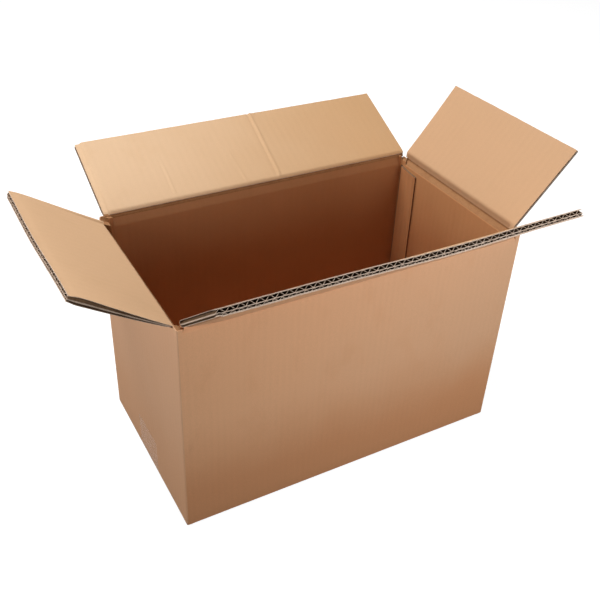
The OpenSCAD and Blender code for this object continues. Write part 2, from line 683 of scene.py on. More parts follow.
@dataclass
class FlutedPanel:
    """A piece of double-wall board made of its five plies, crushed flat towards its crease."""

    name: str
    place: PanelPlace
    length: float
    start: float
    depth: float
    pivot: float
    board: BoardGrade
    look: FlapLook
    rows: int = 16
    crushed_gap: float = 0.55 * MM
    spacing: float = 6.0 * MM
    roll_height: float = 11.0 * MM
    roll_reach: float = 7.0 * MM
    edge_reach: float = 9.0 * MM

    def across(self) -> np.ndarray:
        """Places along the crease for the liners, closer together at the dents and the side edges."""
        half = self.length / 2.0
        places = set(np.round(np.linspace(-half, half, max(12, int(self.length / self.spacing))), 6))
        for dent in self.look.dents:
            near = dent.place + np.arange(-5.0, 6.0) * dent.width * 0.8
            places |= set(np.round(near[(near > -half) & (near < half)], 6))
        for crush in self.look.crushes:
            near = crush.end * (half - crush.width * np.linspace(0.1, 1.1, 9))
            places |= set(np.round(near, 6))
        return np.array(sorted(places))

    def upwards(self) -> np.ndarray:
        """Places from the crease to the free edge, closer together where the board is crushed."""
        reach = max(12.0 * MM, self.start + self.look.crush_in, self.start + self.look.crush_out)
        low = self.start + (reach - self.start) * np.linspace(0.0, 1.0, 9)
        high = np.linspace(reach, self.depth - 5.0 * MM, self.rows - 9)
        edge = self.depth + np.array([-2.0, 0.0]) * MM
        return np.concatenate([low, high[1:], edge])

    def whole(self, share: np.ndarray) -> np.ndarray:
        """Share of its height that a layer has got back, part way out of the crushed root."""
        return self.look.ease * smooth(share) + (1.0 - self.look.ease) * np.clip(share, 0.0, 1.0)

    def level(self, t: float, stack: float, v: np.ndarray) -> np.ndarray:
        """Distance from the folding line's plane of a layer, crushed towards the crease.

        Args:
            t: The layer's own distance where the board is whole.
            stack: Its distance where the board is crushed flat.
            v: Distances from the crease.

        Returns:
            The layer's distance at each of those.
        """
        whole = self.whole(v / self.look.crush_in) if t > 0.0 else smooth(v / self.look.crush_out)
        return stack * (1.0 - whole) + t * whole

    def roll(self, u: np.ndarray, t: np.ndarray, v: np.ndarray) -> np.ndarray:
        """Roll the outer half out above the crease, less towards the panel's ends.

        Args:
            u: Places along the panel.
            t: Distances of the layers from the folding line's plane.
            v: Distances from the crease.

        Returns:
            Distances through the panel by which the points move.
        """
        if self.look.bulge == 0.0:
            return np.zeros(np.broadcast(u, v).shape)
        near = np.exp(-(((v - self.roll_height) / self.roll_reach) ** 2))
        fade = smooth((self.length / 2.0 - np.abs(u)) / (32.0 * MM))
        return self.look.bulge * np.minimum(t, 0.0) / self.pivot * near * fade

    def squash(self, u: np.ndarray, v: np.ndarray) -> np.ndarray:
        """Share of its thickness that the board keeps near its handled free edge."""
        near = smooth((v - self.depth + self.edge_reach) / self.edge_reach)
        uneven = np.clip(wander(u, 60.0 * MM, self.look.seed), 0.0, 1.0)
        return 1.0 - near * (self.look.thinning + 0.07 * uneven)

    def points(self, u: np.ndarray, t: np.ndarray, v: np.ndarray) -> np.ndarray:
        """Place points of the board, bent as the whole panel is.

        Args:
            u: Places along the panel.
            t: Distances of the layers from the folding line's plane.
            v: Distances from the crease.

        Returns:
            The points in the frame.
        """
        middle = self.board.thickness / 2.0 - self.pivot
        t = middle + (t - middle) * self.squash(u, v)
        for crush in self.look.crushes:
            t = crush.press(u, t, self.length, -self.pivot, self.board.thickness)
        lift = self.roll(u, t, v)
        for bow in self.look.bows:
            lift = lift + bow.lift(u, v / self.depth)
        for dent in self.look.dents:
            lift = lift + dent.lift(u, v)
        near, far = self.look.trims
        trim = near + (far - near) * (u / self.length + 0.5)
        return self.place.point(u, t + lift, v - trim * v / self.depth)

    def add_liner(self, maker: MeshMaker, depth: float, layer: int) -> None:
        """Add one flat liner.

        Args:
            maker: Where the mesh is collected.
            depth: Depth of the liner's outer face below the board's outside face.
            layer: 0 for the outer liner, 1 for the middle one and 2 for the inner one.
        """
        u = self.across()[:, None]
        v = self.upwards()[None, :].repeat(len(u), 0)
        ragged = 0.12 * MM * wander(u[:, 0], 9.0 * MM, self.look.seed + 11 + layer)
        v[:, -1] += ragged
        stack = (layer - 1) * self.crushed_gap
        low = depth - self.pivot
        under = self.level(low, stack, v)
        over = self.level(low + self.board.liner, stack + self.board.liner, v)
        fray = self.board.frayed[layer] * smooth((v - self.depth + 2.2 * MM) / (1.8 * MM))
        # Liner faces that look into the flute channels take the dark fluting paper: painted shade in the
        # channels.
        sides = [Ply.FLUTING, Ply.FLUTING]
        if layer == 2:
            under = under - fray
            sides[0] = Ply.INSIDE
        else:
            over = over + fray
        if layer == 0:
            sides[1] = Ply.OUTSIDE
        slots = (sides[0].value, sides[1].value, Ply.CUT.value)
        maker.add_slab(self.points(u, over, v), self.points(u, under, v), slots)

    def add_fluting(self, maker: MeshMaker, depth: float, height: float, pitch: float, layer: int) -> None:
        """Add one wavy paper.

        Args:
            maker: Where the mesh is collected.
            depth: Depth below the outside face at which the wave starts.
            height: Height of the flute.
            pitch: Length of one wave.
            layer: 0 for the small flute and 1 for the large one.
        """
        steps = 12
        waves = round(self.length / pitch)
        u = np.linspace(-self.length / 2.0, self.length / 2.0, waves * steps + 1)[:, None]
        rows = self.upwards()
        rows = np.concatenate([rows[:10], rows[10::2], rows[-1:]])
        rows = np.unique(np.round(rows, 7))
        v = rows[None, :].repeat(len(u), 0)
        v[:, -1] -= (0.25 + 0.2 * wander(u[:, 0], 5.0 * MM, self.look.seed + 31 + layer)) * MM
        inside = np.clip((self.length / 2.0 - np.abs(u)) / (3.0 * pitch), 0.0, 1.0)
        drift = 0.35 * inside * wander(u, 40.0 * MM, self.look.seed + 51 + layer)
        turn = 2.0 * math.pi * waves / self.length
        phase = turn * (u + self.length / 2.0) + drift + (0.5 - layer) * math.pi
        wave = (np.sin(phase) - 0.06 * np.sin(3.0 * phase)) / 1.06
        slope = (np.cos(phase) - 0.18 * np.cos(3.0 * phase)) / 1.06 * turn
        stack = (layer - 0.5) * self.crushed_gap
        low = self.level(depth - self.pivot, stack, v)
        high = self.level(depth + height - self.pivot, stack + self.board.fluting, v)
        middle = (low + high) / 2.0
        swing = np.maximum(high - low - self.board.fluting, 0.0) / 2.0
        steep = swing * slope
        long = np.sqrt(1.0 + steep**2)
        half = self.board.fluting / 2.0
        over_u = u - half * steep / long
        over_t = middle + swing * wave + half / long
        under_u = u + half * steep / long
        under_t = middle + swing * wave - half / long
        # The wavy paper takes the dark fluting paper: its own colour deepened into painted shade.
        slots = (Ply.FLUTING.value, Ply.FLUTING.value, Ply.CUT.value)
        maker.add_slab(self.points(over_u, over_t, v), self.points(under_u, under_t, v), slots)

    def build(self, materials: Sequence[bpy.types.Material]) -> bpy.types.Object:
        """Build the panel's plies as one piece, with its materials in the order of Ply."""
        maker = MeshMaker()
        depths = self.board.liner_depths()
        for layer, depth in enumerate(depths):
            self.add_liner(maker, depth, layer)
        liner = self.board.liner
        self.add_fluting(maker, depths[0] + liner, self.board.small_flute, self.board.small_pitch, 0)
        self.add_fluting(maker, depths[1] + liner, self.board.large_flute, self.board.large_pitch, 1)
        return maker.build(self.name, materials)


@dataclass
class Crease:
    """One top crease: its joint, read from the frame, and what hangs on it."""

    joint: Mapping[str, object]

    @property
    def flap(self) -> str:
        """Name of the flap's body, which is also its node's name."""
        return str(self.joint["child"])

    @property
    def pivot_point(self) -> np.ndarray:
        """A point on the folding line."""
        return np.array(self.joint["pos_m"], float)

    @property
    def outward(self) -> np.ndarray:
        """Level direction away from the box."""
        level = self.pivot_point * np.array([1.0, 1.0, 0.0])
        return level / np.linalg.norm(level)

    @property
    def angle(self) -> float:
        """Opening angle at rest, from upright, in radians."""
        return math.radians(-float(self.joint["range_deg"][0]) - 90.0)

    def place(self) -> PanelPlace:
        """Find the flap's own directions at rest."""
        up = math.sin(self.angle) * self.outward + math.cos(self.angle) * UP
        inward = -math.cos(self.angle) * self.outward + math.sin(self.angle) * UP
        return PanelPlace(self.pivot_point, np.cross(inward, up), inward, up)

    def extent(self) -> tuple[np.ndarray, np.ndarray]:
        """Lowest and highest place of the flap's node along, through and up the flap."""
        place = self.place()
        points = np.array([v.co for v in frame["nodes"][self.flap].data.vertices], float) - place.origin
        local = points @ np.array([place.along, place.inward, place.up]).T
        return local.min(0), local.max(0)


FLAP_LOOKS = {
    "front_flap": FlapLook(
        seed=3,
        crush_in=5.0 * MM,
        crush_out=5.0 * MM,
        rim=RimShape(8.0 * MM, 12.0 * MM, 0.2 * MM, 0.4),
        bulge=2.4 * MM,
        bows=(Bow(35.0 * MM, 75.0 * MM, -1.8 * MM),),
        crushes=(EdgeCrush(-1, 5.0 * MM, 0.85, 1.0),),
    ),
    "back_flap": FlapLook(
        seed=7,
        crush_in=3.4 * MM,
        crush_out=9.0 * MM,
        rim=RimShape(8.0 * MM, 13.0 * MM, 0.2 * MM, 0.35),
        dents=(
            Dent(-17.0 * MM, -0.033, 1.0 * MM, 96.0 * MM, 1.3 * MM, 0.9 * MM),
            Dent(19.0 * MM, 0.1, 2.0 * MM, 52.0 * MM, 1.0 * MM, 0.35 * MM),
            Dent(95.0 * MM, -0.02, 4.0 * MM, 50.0 * MM, 1.1 * MM, 0.4 * MM),
        ),
        crushes=(EdgeCrush(1, 6.5 * MM, 0.72, 0.0), EdgeCrush(-1, 4.0 * MM, 0.6, 1.0)),
    ),
    "left_flap": FlapLook(
        seed=13,
        crush_in=78.0 * MM,
        crush_out=6.0 * MM,
        rim=RimShape(2.2 * MM, 12.0 * MM, 0.0, 0.0),
        ease=0.1,
        trims=(1.3 * MM, 1.8 * MM),
        thinning=0.24,
        bows=(
            Bow(-88.0 * MM, 90.0 * MM, 1.8 * MM),
            Bow(0.0, 60.0 * MM, -0.8 * MM),
            Bow(88.0 * MM, 90.0 * MM, 4.2 * MM),
        ),
        crushes=(EdgeCrush(-1, 4.0 * MM, 0.7, 1.0),),
    ),
    "right_flap": FlapLook(
        seed=17,
        crush_in=6.0 * MM,
        crush_out=5.0 * MM,
        rim=RimShape(2.2 * MM, 5.0 * MM, 0.0, 0.5),
        trims=(0.0, 2.6 * MM),
        bows=(Bow(0.0, 60.0 * MM, 0.8 * MM), Bow(88.0 * MM, 120.0 * MM, 4.5 * MM)),
        crushes=(EdgeCrush(-1, 7.0 * MM, 0.45, 1.0), EdgeCrush(1, 4.0 * MM, 0.7, 1.0)),
    ),
}


@dataclass
class TopFlap:
    """A top flap of open-fluted board, and the thin crushed web that joins it to its wall."""

    crease: Crease
    look: FlapLook
    board: BoardGrade
    web: float = 1.3 * MM
    web_reach: float = 2.6 * MM
    bend: float = 1.2 * MM

    def panel(self) -> FlutedPanel:
        """Describe the flap's board."""
        low, high = self.crease.extent()
        return FlutedPanel(
            name=f"{self.crease.flap}_board",
            place=self.crease.place(),
            length=float(high[0] - low[0]),
            start=0.6 * MM,
            depth=float(high[2]),
            pivot=-float(low[1]),
            board=self.board,
            look=self.look,
        )

    def build_board(self, materials: Sequence[bpy.types.Material]) -> bpy.types.Object:
        """Build the flap itself, which stands for its node."""
        piece = self.panel().build(materials)
        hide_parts(self.crease.flap)
        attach(piece, self.crease.flap)
        return piece

    def build_web(self, materials: Sequence[bpy.types.Material]) -> bpy.types.Object:
        """Build the crushed web, which bends between the wall and the flap."""
        panel = self.panel()
        place = panel.place
        down = -UP * self.web_reach
        steps = np.linspace(0.0, 1.0, 11)
        path = np.outer((1.0 - steps) ** 2, down) + np.outer(steps**2, place.up * self.web_reach)
        turn = np.gradient(path, axis=0)
        turn /= np.linalg.norm(turn, axis=1)[:, None]
        side = np.cross(turn, place.along)
        u = np.linspace(-panel.length / 2.0, panel.length / 2.0, 70)
        line = place.origin + u[:, None, None] * place.along + path[None, :, :]
        maker = MeshMaker()
        half = side[None, :, :] * self.web / 2.0
        maker.add_slab(line - half, line + half, (Ply.OUTSIDE.value, Ply.INSIDE.value, Ply.CUT.value))
        piece = maker.build(f"{self.crease.flap}_web", materials)
        start = place.origin - UP * self.bend
        end = place.origin + place.up * self.bend
        self.crease.flap
        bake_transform(piece)
        return piece


@dataclass
class Rim:
    """Section of a wall's upper edge: how it narrows from both faces to the crease."""

    height: float
    pivot: float
    thickness: float
    shape: RimShape
    web: float = 0.7 * MM
    neck: float = 0.9 * MM

    def slope(self, steps: np.ndarray) -> np.ndarray:
        """Rise of the groove's side from 0 to 1."""
        return self.shape.ease * smooth(steps) + (1.0 - self.shape.ease) * np.clip(steps, 0.0, 1.0)

    def outer(self, steps: np.ndarray) -> np.ndarray:
        """Points of the outside ramp, as depth below the outside face and height."""
        z = self.height - self.shape.outer_run * (1.0 - steps) - self.neck * steps
        t = (self.pivot - self.web) * smooth(steps)
        return np.stack([t, z], 1)

    def inner(self, steps: np.ndarray) -> np.ndarray:
        """Points of the inside ramp, from the crease down, with the bead that the wheel raised."""
        z = self.height - self.neck * (1.0 - steps) - self.shape.inner_run * steps
        low = self.pivot + self.web
        bead = self.shape.bead * np.exp(-(((steps - 0.82) / 0.14) ** 2))
        t = low + (self.thickness - low) * self.slope(steps * 1.25) + bead
        return np.stack([t, z], 1)


class Side(Enum):
    """The sides of the box, with the axis that they face, its sign and the flap that each carries."""

    FRONT = (1, -1, "front_flap")
    BACK = (1, 1, "back_flap")
    LEFT = (0, -1, "left_flap")
    RIGHT = (0, 1, "right_flap")

    @property
    def long(self) -> bool:
        """True for the front and the back."""
        return self.value[0] == 1

    @property
    def sign(self) -> int:
        """Direction in which the side faces along its axis."""
        return self.value[1]

    @property
    def flap(self) -> str:
        """Name of its flap."""
        return self.value[2]

    @property
    def outward(self) -> np.ndarray:
        """Level direction out of the box."""
        way = np.zeros(3)
        way[self.value[0]] = self.sign
        return way


@dataclass
class Station:
    """One upright line round the wall: its outside and inside feet and what its section is.

    The side is None at the rounded corners, and place is the distance from the side's middle. The
    crown is how far the cut top between two flaps lies below the short walls' creases, and how
    much lower its inside edge is.
    """

    outside: tuple[float, float]
    inside: tuple[float, float]
    crown: tuple[float, float]
    side: Side | None = None
    creased: bool = False
    place: float = 0.0


@dataclass
class BoxWalls:
    """The four walls: one folded ring of board, creased at the top and folded in at the bottom."""

    board: BoardGrade
    length: float
    width: float
    rims: dict[Side, Rim]
    foot: float
    corner: float = 1.2 * MM
    long_reach: float = 5.0 * MM
    long_fold: float = 2.0 * MM
    short_fold: float = 2.0 * MM
    slot: float = 0.8 * MM
    hem: float = 3.7 * MM
    hem_depth: float = 3.0 * MM
    swell: float = 1.0 * MM
    inner_corner: float = 1.0 * MM
    slot_reach: float = 8.0 * MM
    end_fold: float = 1.6 * MM
    corner_fold: float = 0.8 * MM
    levels: int = 20
    rim_steps: int = 9
    groove_faces: int = 5
    raw_faces: int = 8

    def half(self, side: Side) -> float:
        """Half the length of a wall, without its rounded corners."""
        return (self.length if side.long else self.width) / 2.0 - self.corner

    def lift(self, side: Side | None, place: float | np.ndarray, z: np.ndarray) -> np.ndarray:
        """Distance by which a wall bellies out.

        Args:
            side: The wall's side, or None at a corner, which stays where it is.
            place: Distance from the middle of the wall.
            z: Heights.

        Returns:
            Distances outwards, in metres.
        """
        if side is None:
            return np.zeros_like(z)
        across = np.cos(math.pi / 2.0 * np.clip(place / self.half(side), -1.0, 1.0))
        height = np.clip(z / self.rims[Side.FRONT].height, 0.0, 1.0)
        return self.swell * np.clip(across, 0.0, 1.0) ** 0.8 * np.sin(math.pi * height) ** 0.9

    def inner_fold(self, sign_x: int, sign_y: int, angle: float) -> tuple[float, float]:
        """Place a point on the inside of an upright fold.

        Args:
            sign_x: 1 for the right end of the box and -1 for the left end.
            sign_y: 1 for the back and -1 for the front.
            angle: Direction of the point from the middle of the fold, in radians.

        Returns:
            The point's X and Y.
        """
        inner_x = self.length / 2.0 - self.board.thickness - self.inner_corner
        inner_y = self.width / 2.0 - self.board.thickness - self.inner_corner
        return (
            sign_x * inner_x + self.inner_corner * math.cos(angle),
            sign_y * inner_y + self.inner_corner * math.sin(angle),
        )

    def corner_stations(self, sign_x: int, sign_y: int, first: float) -> list[Station]:
        """Place the stations round one upright fold, a quarter turn to the left.

        Args:
            sign_x: 1 for the right end of the box and -1 for the left end.
            sign_y: 1 for the back and -1 for the front.
            first: Direction of the first station, in degrees.

        Returns:
            The stations.
        """
        half_x = self.length / 2.0 - self.corner
        half_y = self.width / 2.0 - self.corner
        made = []
        for angle in np.radians(first + np.linspace(0.0, 90.0, 9)):
            turn = (math.cos(angle), math.sin(angle))
            outside = (sign_x * half_x + self.corner * turn[0], sign_y * half_y + self.corner * turn[1])
            inside = self.inner_fold(sign_x, sign_y, angle)
            made.append(Station(outside, inside, self.crown(sign_y < 0, turn[1] ** 2, 1.5 * MM)))
        return made

    def crown(self, near: bool, turn: float, notch: float) -> tuple[float, float]:
        """Shape the cut top between two flaps.

        Args:
            near: True at the two front corners, where the crushed top slants inwards.
            turn: How far the place is round the corner, from the short wall to the long one.
            notch: Depth of the slot at the fold itself.

        Returns:
            How far the top lies below the short walls' creases, and how much lower its inside edge is.
        """
        if near:
            return -2.2 * MM, 6.0 * MM
        return 0.3 * MM - 4.1 * MM * turn + notch * math.sin(math.pi * turn), 0.0

    def seam_stations(self) -> list[Station]:
        """Stations of the glued corner: the right wall's raw cut edge, then the folded tab."""
        x = self.length / 2.0
        y = self.width / 2.0 - self.board.liner
        joint = x - self.board.thickness
        recess = 1.2 * MM
        outline = []
        for depth in self.board.liner_depths():
            outline += [(x - depth, y - recess), (x - depth, y), (x - depth - self.board.liner, y)]
            outline += [(x - depth - self.board.liner, y - recess)]
        outline = outline[1:-1]
        fold = (joint - self.corner, self.width / 2.0 - self.corner)
        for angle in np.radians(np.linspace(20.0, 90.0, 8)):
            outline.append((fold[0] + self.corner * math.cos(angle), fold[1] + self.corner * math.sin(angle)))
        made = []
        for step, outside in enumerate(outline):
            angle = math.radians(90.0 * step / (len(outline) - 1))
            crown = self.crown(False, math.sin(angle) ** 2, 2.5 * MM)
            made.append(Station(outside, self.inner_fold(1, 1, angle), crown))
        return made

    def wall_stations(self, side: Side, count: int) -> list[Station]:
        """Stations along one flat wall, anticlockwise seen from above.

        Args:
            side: The wall's side.
            count: Number of stations where the wall is creased.

        Returns:
            The stations, with a step at each end where the creased part stops.
        """
        reach = self.half(side)
        span = self.length if side.long else self.width
        inner_reach = span / 2.0 - self.board.thickness - self.inner_corner
        outer_level = (self.width if side.long else self.length) / 2.0
        inner_level = outer_level - self.board.thickness
        creased = span / 2.0 - (self.long_reach if side.long else self.slot_reach)
        steps = [(-creased, False)]
        steps += [(place, True) for place in np.linspace(-creased, creased, count)]
        steps += [(creased, False)]
        if side in (Side.BACK, Side.LEFT):
            steps = steps[::-1]
        made = []
        for place, is_creased in steps:
            outside = (place, side.sign * outer_level)
            inside = (place * inner_reach / reach, side.sign * inner_level)
            if not side.long:
                outside = outside[::-1]
                inside = inside[::-1]
            near = side is Side.FRONT or (not side.long and place < 0.0)
            crown = self.crown(near, 1.0 if side.long else 0.0, 0.0)
            made.append(Station(outside, inside, crown, side, is_creased, place))
        return made

    def stations(self) -> list[Station]:
        """All the stations round the box, anticlockwise from the near left corner."""
        made = self.corner_stations(-1, -1, 180.0)
        made += self.wall_stations(Side.FRONT, 49)
        made += self.corner_stations(1, -1, 270.0)
        made += self.wall_stations(Side.RIGHT, 29)
        made += self.seam_stations()
        made += self.wall_stations(Side.BACK, 49)
        made += self.corner_stations(-1, 1, 90.0)
        made += self.wall_stations(Side.LEFT, 29)
        return made

    def section(self, station: Station) -> np.ndarray:
        """Section of the wall at a station, from its foot up the outside and down the inside.

        Args:
            station: The station.

        Returns:
            Points as depth below the outside face and height, always as many.
        """
        thick = self.board.thickness
        low = self.foot if station.side else self.foot + self.slot
        if not station.creased:
            fold = self.end_fold if station.side else self.corner_fold
            base = [(thick, low), (thick - 1.0 * MM, low), (thick - 2.0 * MM, low)]
        elif station.side.long:
            fold = self.long_fold
            ledge = low + self.board.liner
            base = [(thick, ledge), (fold + self.board.liner, ledge), (fold, low)]
        else:
            fold = self.short_fold
            base = [(thick, low + self.hem_depth), (self.hem, low + self.hem_depth), (self.hem, low)]
        arc = np.radians(np.linspace(90.0, 0.0, 6))
        rounding = [(fold * (1.0 - math.cos(a)), low + fold * (1.0 - math.sin(a))) for a in arc]
        steps = np.linspace(0.0, 1.0, self.rim_steps)
        if station.creased:
            rim = self.rims[station.side]
            outer = rim.outer(steps)
            inner = rim.inner(steps)
        else:
            drop, slant = station.crown
            ridge = self.rims[Side.LEFT].height - drop - 0.4 * MM * (1.0 - steps) ** 2
            share = 0.44 * steps
            outer = np.stack([thick * share, ridge - slant * share], 1)
            share = 1.0 - share[::-1]
            inner = np.stack([thick * share, ridge[::-1] - slant * share], 1)
        levels = np.linspace(0.0, 1.0, self.levels + 2)[1:-1]
        rise = (outer[0, 1] - rounding[-1][1]) * levels
        fall = (base[0][1] - inner[-1, 1]) * levels
        face = np.stack([np.zeros(self.levels), rounding[-1][1] + rise], 1)
        back = np.stack([np.full(self.levels, thick), inner[-1, 1] + fall], 1)
        return np.concatenate([np.array(base), np.array(rounding), face, outer, inner, back])

    def slot_of(self, step: int, steps: int, long: bool, creased: bool) -> int:
        """Choose the material slot of one face of the ring.

        Args:
            step: Number of the face in the section.
            steps: Number of faces in the section.
            long: True on a long wall.
            creased: True where the wall has its crease, and False at the corners.

        Returns:
            The slot.
        """
        past = step - (steps - self.levels - self.rim_steps)
        if creased:
            pressed = -1 <= past <= (0 if long else self.groove_faces)
        else:
            pressed = abs(past) < self.raw_faces
        # Groove faces of the creases and the cut top at the corners take the dark crease paper: painted
        # shade.
        if pressed:
            return WallSlot.CREASE.value
        if long:
            return (WallSlot.LONG_OUTSIDE if past < 0 else WallSlot.LONG_INSIDE).value
        return (WallSlot.SHORT_OUTSIDE if past < 0 else WallSlot.SHORT_INSIDE).value

    def ring(self) -> tuple[np.ndarray, list[Station]]:
        """Points of the whole ring, stations by section points by three, and the stations."""
        stations = self.stations()
        rows = []
        for station in stations:
            section = self.section(station)
            outside = np.array([*station.outside, 0.0])
            inside = np.array([*station.inside, 0.0])
            share = section[:, :1] / self.board.thickness
            points = outside * (1.0 - share) + inside * share
            points[:, 2] = section[:, 1]
            out = outside - inside
            out[2] = 0.0
            out /= np.linalg.norm(out)
            lift = self.lift(station.side, station.place, section[:, 1])
            rows.append(points + out * lift[:, None])
        return np.array(rows), stations

    def build(self, materials: Sequence[bpy.types.Material]) -> bpy.types.Object:
        """Build the ring of walls.

        Args:
            materials: Long wall outside and inside, short wall outside and inside, and crease; the insides
                are darker copies that paint the shade inside the box, and the crease is dark paper that
                paints the groove's shade.

        Returns:
            The piece, which stands for the body's node.
        """
        points, stations = self.ring()
        rows, columns = points.shape[:2]
        maker = MeshMaker()
        maker.add_points(points)
        for i in range(rows):
            k = (i + 1) % rows
            station = stations[i]
            other = stations[k]
            long = any(side is not None and side.long for side in (station.side, other.side))
            for j in range(columns):
                m = (j + 1) % columns
                corners = (i * columns + j, k * columns + j, k * columns + m, i * columns + m)
                maker.faces.append(corners)
                maker.slots.append(self.slot_of(j, columns, long, station.creased and other.creased))
        piece = maker.build("wall_panels", materials, 40.0)
        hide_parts("box_body")
        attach(piece, "box")
        return piece


@dataclass
class BottomBoards:
    """The four bottom flaps: two long ones that meet at a seam, and two short ones lying on them.

    Their folding lines lie above their outside faces by the pivot.
    """

    walls: BoxWalls
    long_flap: float
    short_flap: float
    short_reach: float
    seam: float = 2.0 * MM
    pivot: float = 1.0 * MM

    def panel(self, side: Side) -> FlutedPanel:
        """Describe the bottom flap of one side: the long ones lie under the short ones."""
        walls = self.walls
        across = walls.width if side.long else walls.length
        floor = walls.foot if side.long else walls.foot + walls.board.thickness
        way = side.outward
        origin = way * across / 2.0 + UP * (floor + self.pivot)
        return FlutedPanel(
            name=f"bottom_{side.name.lower()}_board",
            place=PanelPlace(origin, np.cross(UP, -way), UP, -way),
            length=self.long_flap if side.long else self.short_flap,
            start=walls.long_fold,
            depth=(across - self.seam) / 2.0 if side.long else self.short_reach,
            pivot=self.pivot,
            board=walls.board,
            look=FlapLook(20 + 3 * side.value[0] + side.sign, 14.0 * MM, 2.0 * MM),
            rows=12,
        )

    def build(self, sets: Mapping[bool, Sequence[bpy.types.Material]]) -> list[bpy.types.Object]:
        """Build the four bottom flaps, which ride the box.

        Args:
            sets: Materials of the long flaps under True, and of the short ones under False.

        Returns:
            The pieces.
        """
        made = []
        for side in Side:
            piece = self.panel(side).build(sets[side.long])
            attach(piece, "box")
            made.append(piece)
        return made


@dataclass
class GlueTab:
    """The back panel's crushed edge, folded in and glued to the right panel.

    It is sunk a little into the panel and pressed flat in the crease at the corner, where a thin slab of dark
    paper paints the crease's shadow line.
    """

    walls: BoxWalls
    low: float
    high: float
    pitch: float
    width: float = 29.0 * MM
    thickness: float = 2.4 * MM
    slope: float = math.tan(math.radians(6.0))
    sunk: float = 0.2 * MM
    pressed: float = 0.35 * MM
    shadow: float = 0.75 * MM

    def build(self, materials: Sequence[bpy.types.Material]) -> bpy.types.Object:
        """Build the tab, whose surface still shows its crushed flutes and the crease beside the corner, with
        painted shade in that crease and on its rim.
        """
        wall = self.walls.length / 2.0 - self.walls.board.thickness
        corner = self.walls.width / 2.0 - self.walls.board.thickness
        across = np.linspace(-0.8 * MM, self.width, 91)[:, None]
        share = np.linspace(0.0, 1.0, 30)[None, :]
        drop = np.clip(across, 0.0, None) * self.slope
        z = self.low + drop + (self.high - self.low - 2.0 * drop) * share
        y = corner - across + 0.0 * z
        ripple = 0.14 * MM * np.sin(2.0 * math.pi * across / self.pitch)
        rise = smooth((across - 2.4 * MM) / (1.3 * MM))
        edge = 0.5 * MM * smooth((across - self.width + 4.0 * MM) / (4.0 * MM))
        belly = self.walls.lift(Side.RIGHT, y, z)
        under = wall + belly + self.sunk
        over = wall + belly - self.pressed - rise * (self.thickness - self.pressed + ripple - edge)
        maker = MeshMaker()
        # The tab's cut rim takes the dark fluting paper: painted shade along its edge.
        slots = (Ply.INSIDE.value, Ply.OUTSIDE.value, Ply.FLUTING.value)
        maker.add_slab(np.stack([over, y, z], -1), np.stack([under, y, z], -1), slots)
        # A thin slab of dark fluting paper in the crease beside the corner: a painted shadow line.
        groove = slice(0, 11)
        proud = (under - self.shadow)[groove]
        dark = (Ply.FLUTING.value, Ply.FLUTING.value, Ply.FLUTING.value)
        y = y[groove]
        z = z[groove]
        maker.add_slab(np.stack([proud, y, z], -1), np.stack([under[groove], y, z], -1), dark)
        piece = maker.build("glue_tab", materials)
        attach(piece, "box")
        return piece


@dataclass
class BottomTape:
    """The clear tape along the bottom seam, with a tail up each end of the box."""

    walls: BoxWalls
    width: float
    tail: float
    thickness: float = 0.08 * MM

    def path(self) -> tuple[np.ndarray, np.ndarray]:
        """Places and outward directions along the tape, in X and Z, from tail to tail."""
        half = self.walls.length / 2.0
        radius = self.walls.short_fold
        low = self.walls.foot
        places = [(half, z) for z in np.linspace(self.tail, low + radius, 14)]
        ways = [(1.0, 0.0)] * 14
        for angle in np.radians(np.linspace(0.0, 90.0, 7))[1:]:
            way = (math.cos(angle), -math.sin(angle))
            places.append((half - radius + radius * way[0], low + radius + radius * way[1]))
            ways.append(way)
        run = [(x, low) for x in np.linspace(half - radius, radius - half, 40)[1:-1]]
        mirrored = [(-x, z) for x, z in places[::-1]]
        turned = [(-x, z) for x, z in ways[::-1]]
        return np.array(places + run + mirrored), np.array(ways + [(0.0, -1.0)] * len(run) + turned)

    def build(self, material: bpy.types.Material) -> bpy.types.Object:
        """Build the tape, which follows the belly of the end walls."""
        places, ways = self.path()
        y = np.linspace(-self.width / 2.0, self.width / 2.0, 15)
        layers = []
        for height in (0.01 * MM, 0.01 * MM + self.thickness):
            belly = np.array([self.walls.lift(Side.LEFT, y, np.full(15, z)) for z in places[:, 1]])
            belly *= np.abs(ways[:, :1]) > 0.99
            x = places[:, :1] + ways[:, :1] * (height + belly)
            z = places[:, 1:] + ways[:, 1:] * height
            layers.append(np.stack([x, np.broadcast_to(y, x.shape), np.broadcast_to(z, x.shape)], -1))
        maker = MeshMaker()
        maker.add_slab(layers[1], layers[0], (0, 0, 0))
        piece = maker.build("seam_tape", [material])
        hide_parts("bottom_tape")
        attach(piece, "box")
        return piece


def soft_light(
    name: str, place: Sequence[float], target: Sequence[float], size: tuple[float, float], power: float
) -> bpy.types.Object:
    """Add one soft panel of plain white light, which the camera doesn't see.

    Args:
        name: Name of the light.
        place: Where it hangs.
        target: What it faces.
        size: Width and height of the panel.
        power: Its power in watts.

    Returns:
        The light.
    """
    data = bpy.data.lights.new(name, "AREA")
    data.shape = "RECTANGLE"
    data.size = size[0]
    data.size_y = size[1]
    data.energy = power
    lamp = bpy.data.objects.new(name, data)
    bpy.context.scene.collection.objects.link(lamp)
    lamp.visible_camera = False
    lamp.location = place
    lamp.rotation_mode = "QUATERNION"
    lamp.rotation_quaternion = (Vector(target) - Vector(place)).to_track_quat("-Z", "Y")
    return lamp


